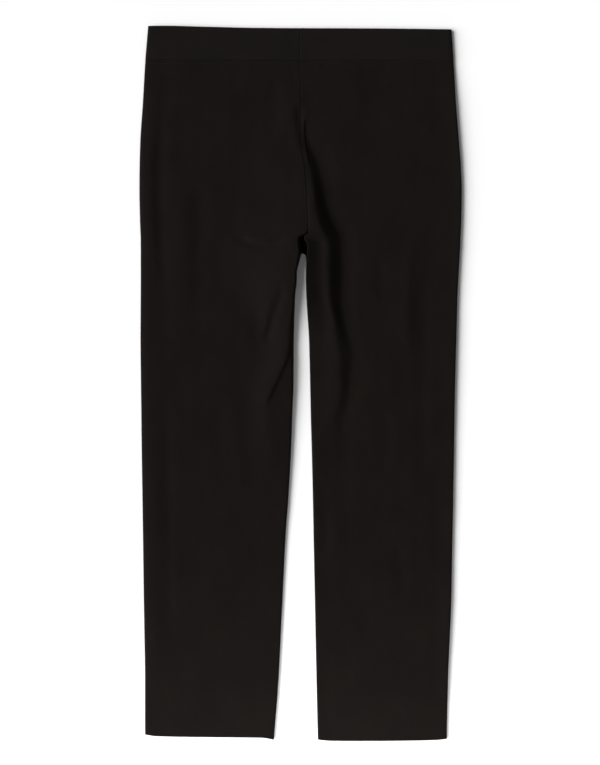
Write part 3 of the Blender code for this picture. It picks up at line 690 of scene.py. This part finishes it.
def add_cloth(name, outer, inner, facing, material):
    """A closed mesh between two grids of points, which are in millimetres."""
    rows, columns = outer.shape[:2]
    out = np.arange(rows * columns).reshape(rows, columns)
    back = out + out.size
    # Strips of faces between two lines of points: both sides of the wall, its ends and its edges.
    strips = [*zip(out, out[1:]), *zip(back[1:], back)]
    strips += [(back[0], out[0]), (out[-1], back[-1])]
    strips += [(out[:, 0], back[:, 0]), (back[:, -1], out[:, -1])]
    faces = [face for a, b in strips for face in zip(a[:-1], b[:-1], b[1:], a[1:])]
    faces = [tuple(map(int, face if facing > 0 else face[::-1])) for face in faces]
    points = np.concatenate([outer.reshape(-1, 3), inner.reshape(-1, 3)]) * MM
    mesh = bpy.data.meshes.new(name)
    mesh.from_pydata(points.tolist(), [], faces)
    mesh.shade_smooth()
    mesh.materials.append(material)
    obj = bpy.data.objects.new(name, mesh)
    bpy.context.scene.collection.objects.link(obj)
    return obj


def leg_panel(leg, material):
    """A leg panel, from the seam under the waistband to the hem, and its outer points."""
    drop = leg_drops(leg.stretches)
    low, high = (leg.edge(edge, drop) for edge in EDGES[leg.side])
    across = section(low, high, *leg.places(drop))
    level = leg.level(across, drop)
    for crease in leg.creases:
        level = level + crease_lift(crease, across, drop)
    if leg.facing > 0:
        level = np.maximum(level + sway(across, drop), LEAST_LEVEL)
    share = (across - low.across) / (high.across - low.across)
    drawn_up = read(HEM_ENDS, leg.side, share) * ramp(LENGTH - HEM_FADE, LENGTH, drop)
    along = slanted(across, drop) + drawn_up
    walls = np.where(drop > HEM_TOP, HEM_WALL, CLOTH)
    outer, inner = both_faces(across, along, level, walls, low, high, leg.facing)
    sewn(outer, across, drop, leg)
    waist = drop - BAND_DEPTH - 0.5 * SEWN_GAP
    outer[:, :, 2] -= leg.facing * SEAM_DIP * rolled(waist, SEAM_DIP_REACH)
    round_end(outer, inner, LENGTH - drop, HEM_WALL, leg.facing)
    return add_cloth(leg.name + "_cloth", outer, inner, leg.facing, material), outer


def band_length(band, material):
    """A length of the waistband, between two of its edges."""
    seam = BAND_DEPTH - 0.5 * SEWN_GAP
    top = QUARTER * 0.5 * BAND_WALL
    lip = seam - QUARTER[::-1] * LIP_ROWS
    drop = np.concatenate([top, np.linspace(*BAND_ROWS), lip])[:, None]
    low, high = (band_edge(edge, drop) for edge in (band.low, band.high))
    across = section(low, high, [], [band.columns])
    level = np.full_like(across, BAND_LEVEL if band.facing > 0 else 0.0)
    walls = np.full_like(drop, BAND_WALL)
    outer, inner = both_faces(across, slanted(across, drop), level, walls, low, high, band.facing)
    outer[:, :, 2] += band.facing * gathers(across, seam - drop)
    outer[:, :, 2] -= band.facing * SEAM_DIP * rolled(seam - drop, SEAM_DIP_REACH)
    round_end(outer, inner, drop, BAND_WALL, band.facing)
    return add_cloth(band.name + "_cloth", outer, inner, band.facing, material)


# ---------------------------------------------------------------------------------------- stitches
def node(tree, kind, inputs=None, **settings):
    """Add a node. Its inputs are named values, or sockets to link from."""
    made = tree.nodes.new(kind)
    for name, value in settings.items():
        setattr(made, name, value)
    for name, value in (inputs or {}).items():
        if isinstance(value, bpy.types.NodeSocket):
            tree.links.new(value, made.inputs[name])
        else:
            made.inputs[name].default_value = value
    return made


def stitch_tree():
    """Geometry nodes that lay a stitch every so often along each line of a mesh."""
    tree = bpy.data.node_groups.new("needle_rows", "GeometryNodeTree")
    sockets = {
        "Lines": "NodeSocketGeometry",
        "Pitch": "NodeSocketFloat",
        "Stitch Size": "NodeSocketVector",
        "Thread": "NodeSocketMaterial",
    }
    for name, kind in sockets.items():
        tree.interface.new_socket(name, in_out="INPUT", socket_type=kind)
    tree.interface.new_socket("Stitches", in_out="OUTPUT", socket_type="NodeSocketGeometry")
    given = node(tree, "NodeGroupInput").outputs
    lines = node(tree, "GeometryNodeMeshToCurve", {"Mesh": given["Lines"]})
    points = node(
        tree,
        "GeometryNodeResampleCurve",
        {"Curve": lines.outputs["Curve"], "Length": given["Pitch"]},
        mode="LENGTH",
    )
    ball = node(tree, "GeometryNodeMeshUVSphere", {"Segments": 6, "Rings": 4, "Radius": 1.0})
    stitch = node(
        tree,
        "GeometryNodeTransform",
        {"Geometry": ball.outputs["Mesh"], "Scale": given["Stitch Size"]},
    )
    tangent = node(tree, "GeometryNodeInputTangent")
    turn = node(
        tree,
        "FunctionNodeAlignRotationToVector",
        {"Vector": tangent.outputs["Tangent"]},
        axis="X",
    )
    laid = node(
        tree,
        "GeometryNodeInstanceOnPoints",
        {
            "Points": points.outputs["Curve"],
            "Instance": stitch.outputs["Geometry"],
            "Rotation": turn.outputs["Rotation"],
        },
    )
    real = node(tree, "GeometryNodeRealizeInstances", {"Geometry": laid.outputs["Instances"]})
    finished = node(
        tree,
        "GeometryNodeSetMaterial",
        {"Geometry": real.outputs["Geometry"], "Material": given["Thread"]},
    )
    node(tree, "NodeGroupOutput", {"Stitches": finished.outputs["Geometry"]})
    return tree


def lines_mesh(name, lines):
    """A mesh of open lines, whose points are in millimetres."""
    points = np.concatenate(lines) * MM
    ends = np.cumsum([len(line) for line in lines])
    edges = [(i, i + 1) for i in range(len(points) - 1) if i + 1 not in ends]
    mesh = bpy.data.meshes.new(name)
    mesh.from_pydata(points.tolist(), edges, [])
    obj = bpy.data.objects.new(name, mesh)
    bpy.context.scene.collection.objects.link(obj)
    return obj


def points_on(row, places):
    """The points of a row of the cloth that lie at these places across."""
    return np.stack([np.interp(places, row[:, 0], row[:, axis]) for axis in range(3)], axis=-1)


def needle_lines(outer, leg):
    """The needle rows of a leg panel, on its outer points: two under the waistband and one down the
    centre seam."""
    drops = leg_drops(leg.stretches)[:, 0]
    lines = []
    for needle in NEEDLE_DROPS:
        row = outer[int(np.argmin(np.abs(drops - needle)))]
        places = np.arange(row[0, 0] + NEEDLE_CLEAR, row[-1, 0] - NEEDLE_CLEAR, NEEDLE_STEP)
        lines.append(points_on(row, places))
    column = outline_column(leg.side + "_inner", leg.facing)
    places = read(OUTLINE, column, drops) + (-NEEDLE_ASIDE if leg.side == "left" else NEEDLE_ASIDE)
    seat = np.flatnonzero((drops > SEAT_START) & (drops < SEAT_END))
    lines.append(np.array([points_on(outer[i], places[i]) for i in seat]))
    for line in lines:
        line[:, 2] += leg.facing * STITCH_RISE * STITCH_SIZE[2]
    return lines


def stitches(name, lines, tree, thread):
    """A piece of realized stitches along these lines."""
    obj = lines_mesh(name, lines)
    rows = obj.modifiers.new("needle_rows", "NODES")
    rows.node_group = tree
    values = {
        "Pitch": STITCH_PITCH * MM,
        "Stitch Size": [size * MM for size in STITCH_SIZE],
        "Thread": thread,
    }
    for socket in tree.interface.items_tree:
        if socket.in_out == "INPUT" and socket.name in values:
            rows[socket.identifier] = values[socket.name]
    depsgraph = bpy.context.evaluated_depsgraph_get()
    mesh = bpy.data.meshes.new_from_object(obj.evaluated_get(depsgraph))
    obj.modifiers.remove(rows)
    obj.data = mesh
    mesh.shade_smooth()
    return obj


# --------------------------------------------------------------------------------------- materials
# The knit's face, in millimetres. Its wales are drawn about twice as wide as the real 0.7 mm, so
# that they show as a faint grain.
WALE = 1.5
COURSE = 1.3  # a row of stitches
YARN_SLANT = 1.2  # courses that the arm of a stitch would climb over a whole wale
WALE_RELIEF = 4.0  # how much a wale stands out, against the yarn's relief of 1
NAP_RELIEF = 2.5  # and how much the nap does
NAP_SCALE = 0.45  # tufts of nap to a millimetre
SHADE_SCALE = 0.018  # and patches of a slightly different shade
SHADES = (0.12, 0.4)  # up to the first value the cloth is darkest, and from the second lightest
NAP_RANGE = (0.3, 0.7)  # the nap that gives the least and the most roughness
ROUGHNESS = (0.55, 0.65)
TWIST_SCALE = 2500.0  # turns of the thread's twist to a metre, 0.4 mm each
TOOTH_SCALE = 900.0  # grains of the paper's tooth to a metre, about 1.1 mm each


def linear(hex_colour):
    """A linear colour from an sRGB hex value."""
    channels = [int(hex_colour[i : i + 2], 16) / 255 for i in (1, 3, 5)]
    return (*(c / 12.92 if c <= 0.04045 else ((c + 0.055) / 1.055) ** 2.4 for c in channels), 1.0)


def principled(name, **values):
    """A material, its tree and its shader, with uniform numbers set on the shader's sockets."""
    material = bpy.data.materials.new(name)
    material.use_nodes = True
    shader = material.node_tree.nodes["Principled BSDF"]
    for socket, value in values.items():
        shader.inputs[socket.replace("_", " ")].default_value = value
    return material, material.node_tree, shader


def jersey(name, dark, light, relief):
    """Brushed cotton jersey, dyed black: matt, a soft nap that pales where the eye skims it, and a
    fine face of upright wales."""
    material, tree, shader = principled(
        name,
        IOR=1.5,
        Specular_IOR_Level=0.03,
        Sheen_Weight=0.02,
        Sheen_Roughness=0.4,
        Sheen_Tint=linear("#FFF2E6"),
    )
    place = node(tree, "ShaderNodeTexCoord").outputs["Object"]
    to_mm = node(tree, "ShaderNodeMapping", {"Vector": place, "Scale": (1000, 1000, 1000)})
    axes = node(tree, "ShaderNodeSeparateXYZ", {"Vector": to_mm.outputs["Vector"]}).outputs
    wales = node(tree, "ShaderNodeMath", {0: axes["X"], 1: WALE}, operation="DIVIDE")
    arm = node(tree, "ShaderNodeMath", {0: wales.outputs[0], 1: 0.5}, operation="PINGPONG")
    rows = node(tree, "ShaderNodeMath", {0: axes["Y"], 1: COURSE}, operation="DIVIDE")
    slope = node(
        tree,
        "ShaderNodeMath",
        {0: arm.outputs[0], 1: YARN_SLANT, 2: rows.outputs[0]},
        operation="MULTIPLY_ADD",
    )
    turn = node(tree, "ShaderNodeMath", {0: slope.outputs[0], 1: math.tau}, operation="MULTIPLY")
    yarn = node(tree, "ShaderNodeMath", {0: turn.outputs[0]}, operation="SINE")
    ribbed = node(
        tree,
        "ShaderNodeMath",
        {0: arm.outputs[0], 1: WALE_RELIEF, 2: yarn.outputs[0]},
        operation="MULTIPLY_ADD",
    )
    nap = node(
        tree,
        "ShaderNodeTexNoise",
        {"Vector": to_mm.outputs["Vector"], "Scale": NAP_SCALE, "Detail": 4.0, "Roughness": 0.65},
    )
    face = node(
        tree,
        "ShaderNodeMath",
        {0: nap.outputs["Fac"], 1: NAP_RELIEF, 2: ribbed.outputs[0]},
        operation="MULTIPLY_ADD",
    )
    bump = node(
        tree,
        "ShaderNodeBump",
        {"Height": face.outputs[0], "Strength": 1.0, "Distance": relief * MM},
    )
    patches = node(
        tree,
        "ShaderNodeTexNoise",
        {"Vector": to_mm.outputs["Vector"], "Scale": SHADE_SCALE, "Detail": 3.0, "Roughness": 0.5},
    )
    shade = node(
        tree,
        "ShaderNodeMath",
        {0: nap.outputs["Fac"], 1: patches.outputs["Fac"]},
        operation="MULTIPLY",
    )
    colour = node(tree, "ShaderNodeValToRGB", {"Fac": shade.outputs[0]})
    for stop, position, dye in zip(colour.color_ramp.elements, SHADES, (dark, light)):
        stop.position = position
        stop.color = linear(dye)
    rough = node(
        tree,
        "ShaderNodeMapRange",
        {
            "Value": nap.outputs["Fac"],
            "From Min": NAP_RANGE[0],
            "From Max": NAP_RANGE[1],
            "To Min": ROUGHNESS[0],
            "To Max": ROUGHNESS[1],
        },
    )
    tree.links.new(colour.outputs["Color"], shader.inputs["Base Color"])
    tree.links.new(rough.outputs["Result"], shader.inputs["Roughness"])
    tree.links.new(bump.outputs["Normal"], shader.inputs["Normal"])
    return material


def thread_black():
    """Spun polyester sewing thread, black: a little smoother than the cloth, so that it catches a
    dull light."""
    material, tree, shader = principled(
        "spun_polyester_thread",
        IOR=1.55,
        Specular_IOR_Level=0.08,
        Sheen_Weight=0.02,
        Roughness=0.6,
    )
    place = node(tree, "ShaderNodeTexCoord").outputs["Object"]
    twist = node(tree, "ShaderNodeTexNoise", {"Vector": place, "Scale": TWIST_SCALE, "Detail": 1.0})
    colour = node(tree, "ShaderNodeValToRGB", {"Fac": twist.outputs["Fac"]})
    for stop, dye in zip(colour.color_ramp.elements, ("#100E0D", "#1B1816")):
        stop.color = linear(dye)
    tree.links.new(colour.outputs["Color"], shader.inputs["Base Color"])
    return material


def paper_white():
    """Matt white background paper, flat but for a trace of tooth."""
    material, tree, shader = principled(
        "white_background_paper",
        Base_Color=linear("#F2F2F2"),
        Roughness=0.95,
        Specular_IOR_Level=0.1,
    )
    place = node(tree, "ShaderNodeTexCoord").outputs["Object"]
    tooth = node(tree, "ShaderNodeTexNoise", {"Vector": place, "Scale": TOOTH_SCALE, "Detail": 2.0})
    bump = node(
        tree,
        "ShaderNodeBump",
        {"Height": tooth.outputs["Fac"], "Strength": 0.1, "Distance": 0.05 * MM},
    )
    tree.links.new(bump.outputs["Normal"], shader.inputs["Normal"])
    return material


# ------------------------------------------------------------------------------ studio and camera
PHOTO_SIZE = (600, 765)
PHOTO_SCALE = 1.42  # millimetres of the surface to a pixel
PHOTO_MIDDLE = 300.5  # the garment's middle, in pixels from the photograph's left edge
PHOTO_TOP = 26.4  # the waistband's highest point, in pixels from the top
SENSOR = 36.0  # millimetres
SKY = 0.2
KEY_STRENGTH = 5.3  # watts to a square metre
KEY_HEIGHT = 33.0  # degrees above the surface, from the garment's left
KEY_SPREAD = 57.0  # degrees that the key covers, so that its shadows are soft
HEM_LIGHT = 1.75  # watts
HEM_LIGHT_TURN = 48.0  # degrees from straight down, towards the hems
# From here on in metres.
CAMERA_HEIGHT = 2.5
FLOOR_SIZE = 60.0
FLOOR_BELOW = 0.0004  # clear of the fronts' undersides
KEY_PLACE = (-2.0, 0.0, 2.0)
HEM_LIGHT_PLACE = (0.0, -0.68, 0.2)
HEM_LIGHT_SIZE = (0.7, 0.12)


def add_camera():
    """Straight above the garment, with the photograph's framing and with plain colours."""
    width, height = PHOTO_SIZE
    data = bpy.data.cameras.new("camera")
    data.sensor_width = SENSOR
    data.lens = SENSOR * CAMERA_HEIGHT / (height * PHOTO_SCALE * MM)
    camera = bpy.data.objects.new("camera", data)
    across = (width / 2 - PHOTO_MIDDLE) * PHOTO_SCALE
    drop = (height / 2 - PHOTO_TOP) * PHOTO_SCALE
    camera.location = (across * MM, (LENGTH / 2 - drop) * MM, CAMERA_HEIGHT)
    bpy.context.scene.collection.objects.link(camera)
    bpy.context.scene.camera = camera
    bpy.context.scene.view_settings.view_transform = "Standard"


def add_light(name, kind, energy, location, turn, **settings):
    """A lamp that the camera doesn't see."""
    data = bpy.data.lights.new(name, kind)
    data.energy = energy
    for setting, value in settings.items():
        setattr(data, setting, value)
    lamp = bpy.data.objects.new(name, data)
    lamp.location = location
    lamp.rotation_euler = [math.radians(angle) for angle in turn]
    lamp.visible_camera = False
    bpy.context.scene.collection.objects.link(lamp)


def add_floor():
    """A wide sheet of white paper under the garment."""
    mesh = bpy.data.meshes.new("floor")
    half = FLOOR_SIZE / 2
    square = ((-half, -half), (half, -half), (half, half), (-half, half))
    mesh.from_pydata([(x, y, -FLOOR_BELOW) for x, y in square], [], [(0, 1, 2, 3)])
    mesh.materials.append(paper_white())
    floor = bpy.data.objects.new("floor", mesh)
    bpy.context.scene.collection.objects.link(floor)
    return floor


def add_lights():
    """An even sky, a broad soft key from the left, and a low light at the hems."""
    world = bpy.data.worlds.new("even_sky")
    world.use_nodes = True
    sky = world.node_tree.nodes["Background"]
    sky.inputs["Color"].default_value = (1.0, 1.0, 1.0, 1.0)
    sky.inputs["Strength"].default_value = SKY
    bpy.context.scene.world = world
    add_light(
        "key_light",
        "SUN",
        KEY_STRENGTH,
        KEY_PLACE,
        (0.0, KEY_HEIGHT - 90.0, 0.0),
        angle=math.radians(KEY_SPREAD),
    )
    add_light(
        "hem_light",
        "AREA",
        HEM_LIGHT,
        HEM_LIGHT_PLACE,
        (HEM_LIGHT_TURN, 0.0, 0.0),
        shape="RECTANGLE",
        size=HEM_LIGHT_SIZE[0],
        size_y=HEM_LIGHT_SIZE[1],
    )


# ------------------------------------------------------------------------------------ flat sizes and attaching the pieces
FLAT_READINGS = 200  # of the outline, for a flat size


def cut_size(low_column, high_column, start, end):
    """A piece's flat width, length and area in metres, from the outline."""
    drops = np.linspace(start, end, FLAT_READINGS)
    widths = (read(OUTLINE, high_column, drops) - read(OUTLINE, low_column, drops)) * MM
    length = (end - start) * MM
    return (float(widths.max()), length), float(widths.mean() * length)


def declare(piece, node_name, extras=()):
    """Attach a sheet of cloth and these extras to the root body, and hide the solid that it
    replaces.
    """
    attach(piece, "root")
    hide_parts(node_name)
    for extra in extras:
        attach(extra, "root")


# A piece that faces up has a facing of 1, and one that faces the floor -1. A leg's edge, level and
# places are functions that give its edges, its height and the knots of its columns.
Leg = namedtuple("Leg", "name side facing stretches edge level places creases")
LEGS = (
    Leg(
        name="front_left_leg",
        side="left",
        facing=-1,
        stretches=FRONT_STRETCHES,
        edge=front_edge,
        level=lies_flat,
        places=front_places,
        creases=FRONT_LEFT_CREASES,
    ),
    Leg(
        name="front_right_leg",
        side="right",
        facing=-1,
        stretches=FRONT_STRETCHES,
        edge=front_edge,
        level=lies_flat,
        places=front_places,
        creases=FRONT_RIGHT_CREASES,
    ),
    Leg(
        name="back_left_leg",
        side="left",
        facing=1,
        stretches=BACK_STRETCHES,
        edge=back_edge,
        level=left_back_level,
        places=left_back_places,
        creases=LEFT_CREASES + SEAT_CREASES,
    ),
    Leg(
        name="back_right_leg",
        side="right",
        facing=1,
        stretches=BACK_STRETCHES,
        edge=back_edge,
        level=right_back_level,
        places=right_back_places,
        creases=RIGHT_CREASES + SEAT_CREASES,
    ),
)
Band = namedtuple("Band", "name low high facing columns")
BANDS = (
    Band("waistband_front", "left_outer", "right_outer", -1, 120),
    Band("waistband_back_left", "left_outer", "left_inner", 1, 70),
    Band("waistband_back_right", "right_inner", "right_outer", 1, 70),
)


def main():
    """Build the studio, the legs with their needle rows, and the waistband."""
    add_lights()
    floor = add_floor()
    add_camera()
    knit = jersey("black_cotton_jersey", dark="#110E0D", light="#15110F", relief=0.1)
    band_knit = jersey("black_jersey_over_elastic", dark="#131010", light="#171311", relief=0.08)
    thread = thread_black()
    tree = stitch_tree()
    for leg in LEGS:
        piece, outer = leg_panel(leg, knit)
        sewing = stitches(leg.name + "_stitches", needle_lines(outer, leg), tree, thread)
        low, high = (outline_column(edge, leg.facing) for edge in EDGES[leg.side])
        flat, area = cut_size(low, high, BAND_DEPTH, LENGTH)
        declare(piece, leg.name, [sewing])
    for band in BANDS:
        piece = band_length(band, band_knit)
        flat, area = cut_size(band.low, band.high, 0.0, BAND_DEPTH)
        declare(piece, band.name)


main()
